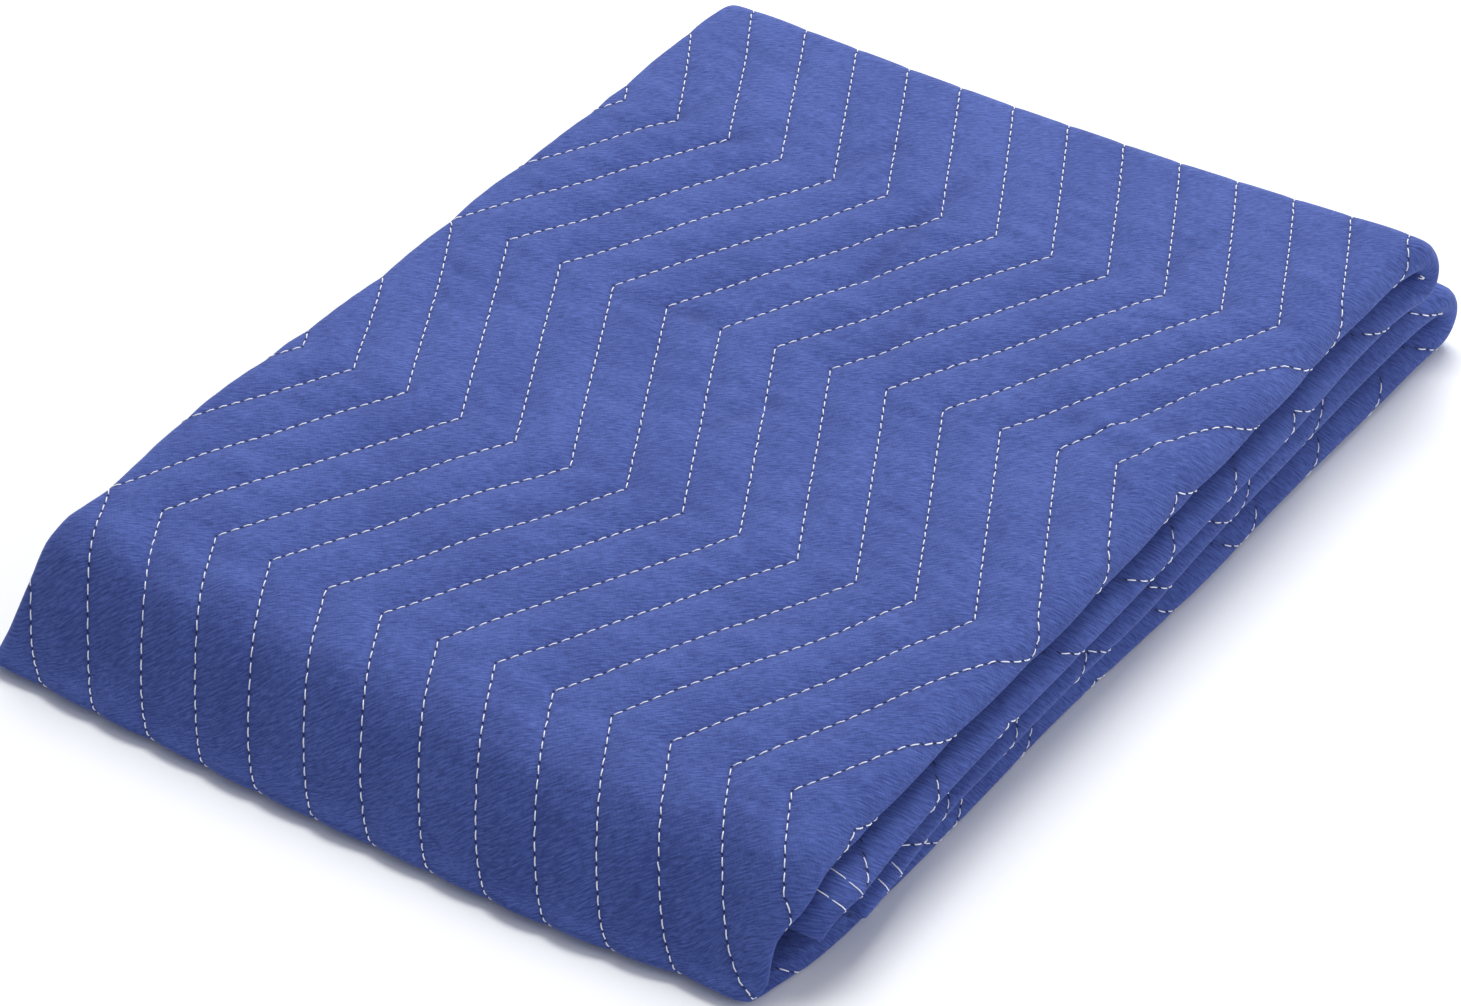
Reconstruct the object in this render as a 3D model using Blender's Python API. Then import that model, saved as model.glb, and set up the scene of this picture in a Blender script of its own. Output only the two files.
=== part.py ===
"""Folded quilted moving blanket, one closed solid in metres, +Z up.

The cloth is folded three times. Its two long edges are turned in, so three plies
lie on each other and make a strip. Both ends of the strip are brought to the
middle, and the strip is then folded in half. That leaves twelve plies in four
passes: one wide bend wraps both strip ends at the front (-Y), and two tight
bends lie above each other at the far side (+Y).

A point of the cloth has two coordinates: U runs across the blanket and is folded
by the section, V runs along it and is folded by the path.
"""

import bmesh
import bpy
import numpy as np

MM = 0.001

# Driving dimensions
LINE_SPACING = 25.0 * MM        # between two sewn zigzag lines
ZIGZAG_ROW = 4.18 * LINE_SPACING    # along the blanket, from one row of corners to the next
ZIGZAG_SWING = 2.24 * LINE_SPACING  # how far a line moves sideways over one row
FIRST_LINE = 4.3 * MM           # from the left fold to a line, at an outer row of corners
FIRST_ROW = 2.8 * MM            # place along Y of such a row on the top pass
PLY = 3.7 * MM                  # thickness of the quilted cloth
PLY_GAP = 0.6 * MM              # air between two plies of the strip
PASS_GAP = 1.4 * MM             # air between two passes of the strip
STACK_WIDTH = 330.0 * MM        # the folded strip, side to side
FRONT = -376.0 * MM             # foremost point of the front bend
FAR_SIDE = 98.0 * MM            # hindmost point of the upper far bend
HEM_A_SETBACK = 10.0 * MM       # inner long edge, short of the right fold
HEM_B_SETBACK = 7.0 * MM        # lower long edge, short of the left fold
END_HEM = 26.0 * MM             # turned hem at both ends of the strip
END_HEM_EXTRA = 0.35 * MM       # how far that hem stands proud of the cloth
FRONT_ROLL = 55.0 * MM          # outer radius where the top turns down
FRONT_ROLL_TURN = np.radians(60)
NOSE = 14.0 * MM                # outer radius where the strip turns back under
FLAP_DROOP = np.radians(38)     # the upper strip end hangs over the lower one
LOWER_END_SETBACK = 2.0 * MM    # lower strip end, short of where the upper one droops
QUILT_CREST = 1.3 * MM          # the padding between two lines, above the plain face
QUILT_VALLEY = 0.8 * MM         # a sewn line, below it
QUILT_FADE = 22.0 * MM          # the quilting flattens over this width at the side folds

# Sizes that follow from them
PLY_PITCH = PLY + PLY_GAP
STRIP = 3 * PLY + 2 * PLY_GAP
PASS_PITCH = STRIP + PASS_GAP
STACK_HEIGHT = 4 * STRIP + 3 * PASS_GAP
HALF_WIDTH = STACK_WIDTH / 2
LEFT_FOLD = PLY_PITCH / 2
RIGHT_FOLD = PLY_PITCH
X_LEFT = -HALF_WIDTH + LEFT_FOLD + PLY / 2
X_RIGHT = HALF_WIDTH - RIGHT_FOLD - PLY / 2
X_HEM_A = X_RIGHT + RIGHT_FOLD - HEM_A_SETBACK
X_HEM_B = -HALF_WIDTH + HEM_B_SETBACK
FAR_BEND = PASS_PITCH / 2
ROLL_MID = FRONT_ROLL - STRIP / 2
NOSE_MID = NOSE - STRIP / 2
NOSE_TURN = np.pi - FRONT_ROLL_TURN
FLAP_ROLL = ROLL_MID - PASS_PITCH
Z_TOP_PASS = STACK_HEIGHT - STRIP / 2
SLOPE = ((Z_TOP_PASS - STRIP / 2 - ROLL_MID * (1 - np.cos(FRONT_ROLL_TURN))
          - NOSE_MID * (1 + np.cos(FRONT_ROLL_TURN))) / np.sin(FRONT_ROLL_TURN))
BEHIND_FRONT = (ROLL_MID * np.sin(FRONT_ROLL_TURN) + SLOPE * np.cos(FRONT_ROLL_TURN)
                + NOSE_MID * (1 - np.sin(FRONT_ROLL_TURN)) + STRIP / 2)
Y_ROLL = FRONT + BEHIND_FRONT
Y_NOSE = (Y_ROLL - ROLL_MID * np.sin(FRONT_ROLL_TURN) - SLOPE * np.cos(FRONT_ROLL_TURN)
          + NOSE_MID * np.sin(FRONT_ROLL_TURN))
Y_FAR = FAR_SIDE - FAR_BEND - STRIP / 2

# The section across the strip: length of each run and how far it turns
SECTION = {
    "flap A": (X_HEM_A - X_LEFT, 0.0),
    "left fold": (np.pi * LEFT_FOLD, -np.pi),
    "centre": (X_RIGHT - X_LEFT, 0.0),
    "right fold": (np.pi * RIGHT_FOLD, -np.pi),
    "flap B": (X_RIGHT - X_HEM_B, 0.0),
}

# The path of the strip: length of each run and how far it turns
PATH = {
    "upper end droop": (FLAP_ROLL * FLAP_DROOP, -FLAP_DROOP),
    "upper end": (Y_FAR - Y_ROLL, 0.0),
    "upper far bend": (np.pi * FAR_BEND, np.pi),
    "top": (Y_FAR - Y_ROLL, 0.0),
    "front roll": (ROLL_MID * FRONT_ROLL_TURN, FRONT_ROLL_TURN),
    "front slope": (SLOPE, 0.0),
    "nose": (NOSE_MID * NOSE_TURN, NOSE_TURN),
    "bottom": (Y_FAR - Y_NOSE, 0.0),
    "lower far bend": (np.pi * FAR_BEND, np.pi),
    "lower end": (Y_FAR - Y_ROLL - LOWER_END_SETBACK, 0.0),
}

# How many steps each bend of the path is cut into; the zigzag rows cut the straight runs
PATH_STEPS = {"upper end droop": 3, "upper far bend": 8, "front roll": 6, "front slope": 1,
              "nose": 9, "lower far bend": 8}

STATION_CLEAR = 7.0 * MM        # a zigzag row nearer than this to a bend's step is left out
END_ROUNDING = 1.5 * MM         # the cloth's cut ends are thinner over this length
END_THINNING = 0.55
RIM = 1.2 * MM                  # rounding of the two long edges
COLUMN_WAIT = 1.4 * MM          # spacing of the columns that wait at a side fold
LINE_FAN = 4.4 * MM             # how far the sewn lines spread towards the far right corner
FINE_STEPS = 4001               # steps in which the length of the cloth is searched
DRIFT_TURNS = 9                 # turns in which the drift of the lines is added to them

# Height of the stack as it lies: y, then the height at the left, middle and right
HEIGHTS = np.array([
    (-376, 15.0, 15.0, 15.0),
    (-371, 16.5, 17.5, 18.0),
    (-366, 20.5, 23.0, 25.0),
    (-356, 32.5, 31.5, 32.5),
    (-345, 42.5, 38.5, 37.5),
    (-331, 46.8, 41.5, 41.5),
    (-318, 47.3, 42.2, 43.5),
    (-210, 52.8, 47.5, 51.0),
    (-105, 50.0, 48.0, 55.0),
    (0, 53.3, 53.0, 59.0),
    (95, 54.6, 52.6, 60.5),
]) * MM

# y, then how far out the left side stands, and the right sides of the four passes from
# the lowest one up, in mm
EDGES = np.array([
    (-376, 1.0, -5.0, -4.0, -8.0, -10.0),
    (-360, 1.5, -3.0, 2.0, -5.0, -7.0),
    (-345, 1.5, 0.0, 8.0, 3.0, -2.1),
    (-325, -0.5, 1.7, 11.0, 9.0, -2.0),
    (-300, -0.8, 2.0, 9.5, 7.8, -1.2),
    (-260, 1.3, 1.6, 5.1, 6.0, -1.5),
    (-220, -0.5, 0.5, 4.0, 4.8, -1.4),
    (-180, -1.5, -0.6, 3.4, 4.4, -0.8),
    (-130, 0.3, 0.2, 3.7, 3.2, -2.2),
    (-83, 2.7, 0.9, 0.5, 2.4, -3.0),
    (-20, 0.9, -1.0, -1.2, 1.0, -4.1),
    (44, 1.8, -1.5, -3.6, -3.0, -6.1),
    (74, 3.0, -1.8, -2.8, -2.8, -5.2),
    (98, 1.5, 0.5, 1.0, 1.0, -0.5),
]) * MM
# x, then how far the front is set back there, in mm
FRONT_BOW = np.array([(-165, 4.0), (-110, 2.6), (-50, 0.9), (20, 0.6), (80, 1.5), (110, 3.5),
                      (140, 7.0), (165, 6.0)]) * MM
FRONT_BOW_REACH = 60.0 * MM
LEFT_STEP = 1.3 * MM            # how much farther out than the next the lower passes stand at left
EDGE_ZONE = 34.0 * MM
LOWER_BEND_PROUD = 18.0 * MM
EDGE_PINCH = 0.45               # share of its thickness that the strip loses at the right fold
PINCH_WIDTH = 17.0 * MM
PINCH_LEVEL = 2.1 * MM          # how far below the strip's middle the pinched edge closes
PINCH_END = 70.0 * MM           # y at which the pinch starts to fade towards the far bends
SHOULDER = 0.035                # the stack is this much thinner at its side folds
SHOULDER_WIDTH = 30.0 * MM


def starts_of(runs):
    """Distance along a course at which each of its runs starts, and its full length."""
    ends = np.cumsum([length for length, turn in runs.values()])
    names = list(runs)
    return dict(zip(names, np.concatenate([[0.0], ends[:-1]]))), float(ends[-1])


U_START, CLOTH_WIDTH = starts_of(SECTION)
V_START, CLOTH_LENGTH = starts_of(PATH)
ROW_ZERO = V_START["top"] + Y_FAR - FIRST_ROW

# Turn of the path at each end of its runs, counted from the top pass
BEND_MARKS = np.array([0.0] + list(np.cumsum([length for length, turn in PATH.values()])))
BEND_TURNS = np.concatenate([[0.0], np.cumsum([turn for length, turn in PATH.values()])])
BEND_TURNS = BEND_TURNS - np.interp(V_START["top"], BEND_MARKS, BEND_TURNS)


def course(distance, runs, start, heading):
    """Points and headings on a course of straight runs and arcs.

    Within a run of length L and turn T the heading grows by T/L for each metre, so
    the position is the integral of its cosine and sine.
    """
    lengths = np.array([length for length, turn in runs.values()])
    turns = np.array([turn for length, turn in runs.values()])
    bends = np.where(turns == 0, 1.0, turns / lengths)
    headings = heading + np.concatenate([[0.0], np.cumsum(turns)[:-1]])

    def moved(run, along):
        """How far a point lies from the start of its run, given the run's number."""
        angle, bend = headings[run], bends[run]
        straight = turns[run] == 0
        across = np.where(straight, along * np.cos(angle),
                          (np.sin(angle + bend * along) - np.sin(angle)) / bend)
        up = np.where(straight, along * np.sin(angle),
                      (np.cos(angle) - np.cos(angle + bend * along)) / bend)
        return across, up

    whole_across, whole_up = moved(np.arange(len(lengths)), lengths)
    first_across = start[0] + np.concatenate([[0.0], np.cumsum(whole_across)[:-1]])
    first_up = start[1] + np.concatenate([[0.0], np.cumsum(whole_up)[:-1]])
    run_starts = np.concatenate([[0.0], np.cumsum(lengths)[:-1]])
    run = np.clip(np.searchsorted(run_starts, distance, side="right") - 1, 0, len(lengths) - 1)
    along = distance - run_starts[run]
    across, up = moved(run, along)
    return first_across[run] + across, first_up[run] + up, headings[run] + turns[run] / lengths[run] * along


def smooth_step(low, high, value):
    """0 below low, 1 above high and a smooth S between them."""
    part = np.clip((value - low) / (high - low), 0.0, 1.0)
    return part * part * (3 - 2 * part)


def smooth_curve(value, knots, levels):
    """A curve through the levels at the knots, each slope taken from its neighbours."""
    value = np.clip(value, knots[0], knots[-1])
    span = np.clip(np.searchsorted(knots, value, side="right") - 1, 0, len(knots) - 2)
    slope = np.gradient(levels, knots)
    width = knots[span + 1] - knots[span]
    part = (value - knots[span]) / width
    return ((1 + 2 * part) * (1 - part) ** 2 * levels[span]
            + part * (1 - part) ** 2 * width * slope[span]
            + part ** 2 * (3 - 2 * part) * levels[span + 1]
            - part ** 2 * (1 - part) * width * slope[span + 1])


def stack_height(x, y):
    """Height of the settled stack: a parabola in x through the three columns of HEIGHTS."""
    left, middle, right = (smooth_curve(y, HEIGHTS[:, 0], HEIGHTS[:, column]) for column in (1, 2, 3))
    side = np.clip(x / HALF_WIDTH, -1.0, 1.0)
    return (left * (side ** 2 - side) + right * (side ** 2 + side)) / 2 + middle * (1 - side ** 2)


def right_shift(y, level):
    """Shift of the right side: curves along y, straight from each pass to the next one."""
    passes = np.stack([smooth_curve(y, EDGES[:, 0], EDGES[:, column]) for column in (2, 3, 4, 5)])
    place = np.clip(4 * level - 0.5, 0.0, 3.0)
    below = np.minimum(place.astype(int), 2)
    low = np.take_along_axis(passes, below[None], axis=0)[0]
    high = np.take_along_axis(passes, below[None] + 1, axis=0)[0]
    return low + (high - low) * (place - below)


def settle(x, y, z):
    """Turn the even fold into the uneven stack; the underside stays flat at z = 0."""
    level = z / STACK_HEIGHT
    shoulder = np.clip((np.abs(x) - HALF_WIDTH + SHOULDER_WIDTH) / SHOULDER_WIDTH, 0.0, 1.0) ** 2
    tall = z * stack_height(x, y) / STACK_HEIGHT * (1 - SHOULDER * shoulder)
    shift_left = smooth_curve(y, EDGES[:, 0], EDGES[:, 1]) + LEFT_STEP * np.clip(3.5 - 4 * level, 0, 3)
    at_right = smooth_step(HALF_WIDTH - EDGE_ZONE, HALF_WIDTH, x)
    at_left = smooth_step(HALF_WIDTH - EDGE_ZONE, HALF_WIDTH, -x)
    at_corner = smooth_step(-HALF_WIDTH, HALF_WIDTH, x) * smooth_step(-0.05, 0.09, y)
    proud = np.where(level < 0.5, LOWER_BEND_PROUD, 0.0) * at_corner
    back = smooth_curve(x, FRONT_BOW[:, 0], FRONT_BOW[:, 1])
    proud = proud + back * (1 - smooth_step(FRONT, FRONT + FRONT_BOW_REACH, y))
    return x + right_shift(y, level) * at_right - shift_left * at_left, y + proud, tall


def pinched(x, across, y, v):
    """Distance across the strip once it is pinched at the right fold.

    The upper face of a pass dips towards the fold more and more steeply, as the square
    of the distance gone, and the lower face rises less. The lowest pass stays on the floor.
    """
    near_fold = np.clip((x - HALF_WIDTH + PINCH_WIDTH) / PINCH_WIDTH, 0.0, 1.0) ** 2
    near_fold = near_fold * (1 - smooth_step(PINCH_END, FAR_SIDE, y))
    knots = [V_START[run] for run in ("upper far bend", "top", "front roll", "bottom",
                                      "lower far bend", "lower end")]
    levels = [PINCH_LEVEL, -PINCH_LEVEL, -PINCH_LEVEL, STRIP / 2, STRIP / 2, -PINCH_LEVEL]
    fixed = np.interp(v, knots, levels)
    return fixed + (across - fixed) * (1 - EDGE_PINCH * near_fold)


def cloth_point(u, v, offset):
    """World point of the cloth point (u, v), offset from its middle towards the outer face."""
    x, across, turn_u = course(u, SECTION, (X_HEM_A, 0.0), np.pi)
    x = x - offset * np.sin(turn_u)
    across = across + offset * np.cos(turn_u)
    start = (Y_ROLL - FLAP_ROLL * np.sin(FLAP_DROOP),
             Z_TOP_PASS - PASS_PITCH - FLAP_ROLL * (1 - np.cos(FLAP_DROOP)))
    y, z, turn_v = course(v, PATH, start, FLAP_DROOP)
    across = pinched(x, across, y, v)
    return np.stack(settle(x, y + across * np.sin(turn_v), z - across * np.cos(turn_v)), axis=-1)


def sewn_length(v):
    """Length along the outer ply: V, and the longer way round that it takes at the bends."""
    return v + PLY_PITCH * np.interp(v, BEND_MARKS, BEND_TURNS)


def row_number(v):
    """How many zigzag rows v lies from the first one; the corners are at whole numbers."""
    return (sewn_length(v) - ROW_ZERO) / ZIGZAG_ROW


def zigzag(v):
    """Sideways place of the sewn lines at v: it swings to and fro once in two rows."""
    rows = np.mod(row_number(v), 2.0)
    return -ZIGZAG_SWING * np.where(rows < 1, rows, 2 - rows)


def seam_drift(u, v):
    """How far right the lines lie of their even places.

    They spread towards the far right corner, and they don't follow the shifts of the
    right side, so on the top pass they run on straight to a fold that wanders.
    """
    start = (Y_ROLL - FLAP_ROLL * np.sin(FLAP_DROOP), 0.0)
    y = course(v, PATH, start, FLAP_DROOP)[0]
    x = np.clip(u - U_START["centre"] + X_LEFT, -HALF_WIDTH, HALF_WIDTH)
    spread = smooth_step(-60 * MM, 130 * MM, x) * smooth_step(-150 * MM, 60 * MM, y)
    kept = smooth_curve(y, EDGES[:, 0], EDGES[:, 5])
    return LINE_FAN * spread - kept * smooth_step(HALF_WIDTH - EDGE_ZONE, HALF_WIDTH, x)


def stations():
    """Places along the blanket where the section is set: hems, bends and half zigzag rows."""
    placed = [0.0, END_ROUNDING, END_HEM]
    placed += [CLOTH_LENGTH - distance for distance in placed]
    for name, steps in PATH_STEPS.items():
        placed += list(V_START[name] + PATH[name][0] * np.arange(steps + 1) / steps)
    halves = np.arange(np.ceil(2 * row_number(0.0)), np.floor(2 * row_number(CLOTH_LENGTH)) + 1)
    fine = np.linspace(0.0, CLOTH_LENGTH, FINE_STEPS)
    rows = np.interp(halves / 2, row_number(fine), fine)
    apart = np.abs(np.array(placed)[:, None] - rows).min(axis=0)
    placed = np.sort(np.concatenate([placed, rows[apart > STATION_CLEAR]]))
    return placed[np.concatenate([[True], np.diff(placed) > MM])]


def quilt_strength(v):
    """1 where the outer face shows, 0 where it lies on the floor or on another pass."""
    bend = PATH["upper far bend"][0]
    nose = PATH["nose"][0]
    knots = [V_START["upper far bend"], V_START["upper far bend"] + bend / 3, V_START["nose"],
             V_START["nose"] + nose / 2, V_START["lower far bend"] + bend / 6,
             V_START["lower far bend"] + bend / 2, V_START["lower end"] - bend / 6]
    return np.interp(v, knots, [0, 1, 1, 0, 0, 1, 0])


def outer_columns(v):
    """U and offset of the outer face's columns, one row for each station.

    On the centre ply the columns follow the sewn lines and the crests between them.
    Those that a line has carried past a side fold wait there, close together.
    """
    first = U_START["centre"]
    last = U_START["right fold"]
    half_line = LINE_SPACING / 2
    spare = int(np.ceil(ZIGZAG_SWING / half_line))
    count = int((last - first) / half_line) + spare
    number = np.arange(count)
    even = first + FIRST_LINE + half_line * number + zigzag(v)[:, None]
    follow = even
    for turn in range(DRIFT_TURNS):
        follow = even + seam_drift(follow, np.broadcast_to(v[:, None], even.shape))
    follow = np.maximum(follow, first + COLUMN_WAIT * (number + 1))
    follow = np.minimum(follow, last - COLUMN_WAIT * (count - number))
    crest = np.where(number % 2 == 0, -QUILT_VALLEY, QUILT_CREST)
    from_fold = np.minimum(follow - first, last - follow)
    raised = crest * smooth_step(0.0, QUILT_FADE, from_fold) * quilt_strength(v)[:, None]

    before = np.concatenate([hidden_columns("flap A"), fold_columns("left fold", 4)])
    after = np.concatenate([fold_columns("right fold", 6), hidden_columns("flap B")])
    rows = len(v)
    across = np.concatenate([np.tile(before, (rows, 1)), follow, np.tile(after, (rows, 1))], axis=1)
    height = np.concatenate([np.zeros((rows, len(before))), raised, np.zeros((rows, len(after)))], axis=1)
    return across, height


def fold_columns(name, count):
    """U at even angles round a side fold, both ends included."""
    return U_START[name] + SECTION[name][0] * np.linspace(0, 1, count)


def hidden_columns(name):
    """U on a flat ply at the five places across the stack that all hidden faces share."""
    places = np.array([-0.92, -0.48, 0.0, 0.48, 0.90]) * HALF_WIDTH
    if name == "centre":
        return U_START["centre"] + places - X_LEFT
    if name == "flap A":
        return np.concatenate([[0.0], X_HEM_A - places[::-1]])
    return np.concatenate([U_START["flap B"] + X_RIGHT - places[::-1], [CLOTH_WIDTH]])


def section_loop(v):
    """U and offset of one closed loop round the cloth's section, for every station."""
    outer, raised = outer_columns(v)
    inner = np.concatenate([hidden_columns("flap B")[::-1], fold_columns("right fold", 4)[::-1],
                            hidden_columns("centre")[::-1], fold_columns("left fold", 3)[::-1],
                            hidden_columns("flap A")[::-1]])
    inner = np.tile(inner, (len(v), 1))
    rim_b = np.full((len(v), 1), CLOTH_WIDTH + RIM)
    rim_a = np.full((len(v), 1), -RIM)
    from_end = np.minimum(v, CLOTH_LENGTH - v)[:, None]
    hem = END_HEM_EXTRA * (from_end < END_HEM - MM)
    round_off = np.where(from_end < END_ROUNDING / 2, END_THINNING, 1.0)
    centre = (outer > U_START["centre"] - MM) & (outer < U_START["flap B"] + MM)
    outer_offset = (PLY / 2 + raised + hem * centre) * round_off
    inner_offset = -PLY / 2 * round_off * np.ones_like(inner)
    none = np.zeros((len(v), 1))
    return (np.concatenate([outer, rim_b, inner, rim_a], axis=1),
            np.concatenate([outer_offset, none, inner_offset, none], axis=1))


def grid_faces(points):
    """Triangles of a tube, one ring of points for each row, facing outwards.

    Each quad is cut from its left corner in one row to its right corner in the next
    one, so that faces lying on each other bend in the same places.
    """
    rows, columns = points.shape[:2]
    row, column = np.meshgrid(np.arange(rows - 1), np.arange(columns), indexing="ij")
    here = row * columns + column
    beside = row * columns + (column + 1) % columns
    x = points[..., 0].ravel()
    rightwards = (x[beside] > x[here])[..., None, None]
    next_here, next_beside = here + columns, beside + columns
    cut_up = np.stack([np.stack([here, next_here, next_beside], axis=-1),
                       np.stack([here, next_beside, beside], axis=-1)], axis=-2)
    cut_down = np.stack([np.stack([here, next_here, beside], axis=-1),
                         np.stack([beside, next_here, next_beside], axis=-1)], axis=-2)
    return np.where(rightwards, cut_up, cut_down).reshape(-1, 3)


def make_collection(name):
    collection = bpy.data.collections.new(name)
    bpy.context.scene.collection.children.link(collection)
    return collection


def quilted_cloth():
    """Mid-blue non-woven polyester cover over padding: matt, not metallic."""
    material = bpy.data.materials.new("quilted_polyester_blue")
    material.use_nodes = True
    shader = material.node_tree.nodes["Principled BSDF"]
    shader.inputs["Base Color"].default_value = (0.060, 0.100, 0.380, 1.0)
    shader.inputs["Roughness"].default_value = 0.9
    shader.inputs["Metallic"].default_value = 0.0
    return material


def make_blanket(collection):
    """The whole blanket: one section loop at every station, and a cap on both strip ends."""
    v = stations()
    u, offset = section_loop(v)
    points = cloth_point(u, np.repeat(v[:, None], u.shape[1], axis=1), offset)
    middle = (points.min(axis=(0, 1)) + points.max(axis=(0, 1))) / 2
    points = points - middle * (1, 1, 0)
    rows, columns = u.shape
    mesh = bpy.data.meshes.new("blanket")
    sides = grid_faces(points).tolist()
    first_cap = list(range(columns))
    last_cap = [(rows - 1) * columns + number for number in reversed(range(columns))]
    mesh.from_pydata(points.reshape(-1, 3).tolist(), [], sides + [first_cap, last_cap])
    shape = bmesh.new()
    shape.from_mesh(mesh)
    caps = [face for face in shape.faces if len(face.verts) > 4]
    bmesh.ops.triangulate(shape, faces=caps, ngon_method="EAR_CLIP")
    bmesh.ops.recalc_face_normals(shape, faces=shape.faces)
    shape.to_mesh(mesh)
    shape.free()
    mesh.shade_smooth()
    mesh.materials.append(quilted_cloth())
    blanket = bpy.data.objects.new("blanket", mesh)
    collection.objects.link(blanket)
    return blanket


def main():
    for item in list(bpy.data.objects):
        bpy.data.objects.remove(item)
    collection = make_collection("moving_blanket")
    blanket = make_blanket(collection)
    print("cloth laid flat", round(CLOTH_WIDTH, 3), "by", round(CLOTH_LENGTH, 3), "m")
    print("blanket", len(blanket.data.polygons), "faces, size",
          [round(side, 4) for side in blanket.dimensions])


main()
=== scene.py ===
# %% [markdown]
# # A folded moving blanket
#
# A moving blanket is a quilted sheet: padding between two covers of blue non-woven
# polyester, held by zigzag rows of white lockstitch. This one is folded three times
# and lies as a flat stack. The lesson bends one flat, finely divided sheet through
# those folds with numpy, presses the sewn lines into it, lays real stitches along
# them, and then builds the cover's and the thread's finish from shader nodes.

import math

import bpy
import numpy as np
from mathutils import Matrix, Vector


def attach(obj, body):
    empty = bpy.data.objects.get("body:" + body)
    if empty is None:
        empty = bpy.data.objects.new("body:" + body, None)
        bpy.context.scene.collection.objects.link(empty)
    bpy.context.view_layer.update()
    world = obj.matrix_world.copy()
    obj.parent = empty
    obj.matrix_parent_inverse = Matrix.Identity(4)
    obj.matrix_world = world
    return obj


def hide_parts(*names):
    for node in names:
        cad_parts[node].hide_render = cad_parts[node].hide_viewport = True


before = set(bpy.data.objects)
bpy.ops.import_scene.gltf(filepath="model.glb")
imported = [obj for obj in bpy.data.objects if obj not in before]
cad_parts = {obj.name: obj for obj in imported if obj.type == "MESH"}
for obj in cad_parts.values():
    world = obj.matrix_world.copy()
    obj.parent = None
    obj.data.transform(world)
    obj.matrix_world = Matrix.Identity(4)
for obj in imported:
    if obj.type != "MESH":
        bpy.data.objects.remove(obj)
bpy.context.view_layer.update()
MM = 0.001


def add_object(name, data):
    """A new object of that mesh, camera or light, linked to the scene."""
    made = bpy.data.objects.new(name, data)
    bpy.context.scene.collection.objects.link(made)
    return made


def pairs(first, second):
    """Every pair of values from two rows, as two flat arrays."""
    return [part.ravel() for part in np.meshgrid(first, second, indexing="ij")]


def running(steps):
    """Places reached after none, one, two and so on of the steps."""
    return np.concatenate([[0.0], np.cumsum(steps)])


# %% [markdown]
# ## The camera
# The picture was taken from the right and in front, about 36 degrees above the floor,
# with a long lens, so the edges of the stack run nearly parallel. The camera is set
# from its place and its own three axes. It isn't tilted or shifted.

# %% The camera
CAMERA_PLACE = (0.91639, -1.34049, 1.19289)
CAMERA_RIGHT = (0.821197, 0.570645, 0.0)
CAMERA_UP = (-0.337905, 0.486269, 0.805831)
SENSOR_WIDTH = 36.0  # mm
FOCAL_LENGTH = 132.04  # mm


def make_camera():
    """A camera whose matrix has its right, up and backward axes as columns."""
    data = bpy.data.cameras.new("camera")
    data.sensor_fit = "HORIZONTAL"
    data.sensor_width = SENSOR_WIDTH
    data.lens = FOCAL_LENGTH
    camera = add_object("camera", data)
    right, up = Vector(CAMERA_RIGHT), Vector(CAMERA_UP)
    axes = Matrix((right, up, right.cross(up))).transposed()
    camera.matrix_world = Matrix.Translation(CAMERA_PLACE) @ axes.to_4x4()
    bpy.context.scene.camera = camera
    return camera


camera = make_camera()
print("camera", FOCAL_LENGTH, "mm at", CAMERA_PLACE)

# %% [markdown]
# ## The fold
# On the real blanket the long edges are turned in first, which gives a strip of three
# plies. Both ends of the strip go to its middle, and the strip is folded in half. A
# cloth simulation would have to fold it three times over and would lose the sewn
# lines, so the fold is worked out instead: U runs across the cloth and follows the
# section of the strip, V runs along it and follows the path of the strip. Both are
# chains of straight runs and arcs.

# %% Sizes of the cloth and of the fold
LINE_SPACING = 25.0 * MM  # between two sewn zigzag lines, about an inch
ZIGZAG_ROW = 4.18 * LINE_SPACING  # length of a zigzag leg along the blanket
ZIGZAG_SWING = 2.24 * LINE_SPACING  # and across it
FIRST_LINE = 4.3 * MM  # from the start of the centre ply to line 0 at its right corners
FIRST_ROW = 4.6 * MM  # y of the row of corners that counts as row 0
PLY = 3.7 * MM  # thickness of the cloth
PLY_GAP = 0.6 * MM  # between the plies of a pass
PASSES = 4
PASS_GAP = 1.4 * MM  # between two passes, before the stack settles
STACK_WIDTH = 330.0 * MM
FRONT = -376.0 * MM  # y of the front bend's foremost point
FAR_SIDE = 98.0 * MM  # y of the far bends' farthest point
HEM_A_SETBACK = 10.0 * MM  # from each long edge to the side that it nearly reaches
HEM_B_SETBACK = 7.0 * MM
END_HEM = 26.0 * MM  # width of the hem turned over at both ends
END_HEM_EXTRA = 0.35 * MM  # how much thicker it is on its outer face
HEM_STEP = 3.0 * MM  # length in which that thickness is reached
FRONT_ROLL = 55.0 * MM  # outer radius of the upper part of the front bend
FRONT_ROLL_TURN = math.radians(60)
NOSE = 14.0 * MM  # outer radius of its lower part
FLAP_DROOP = math.radians(38)  # how far the upper end bends down in the front hollow
LOWER_END_SETBACK = 2.0 * MM
CENTRE = np.array([2.537, -129.611, 0.0]) * MM  # goes to the origin

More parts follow.
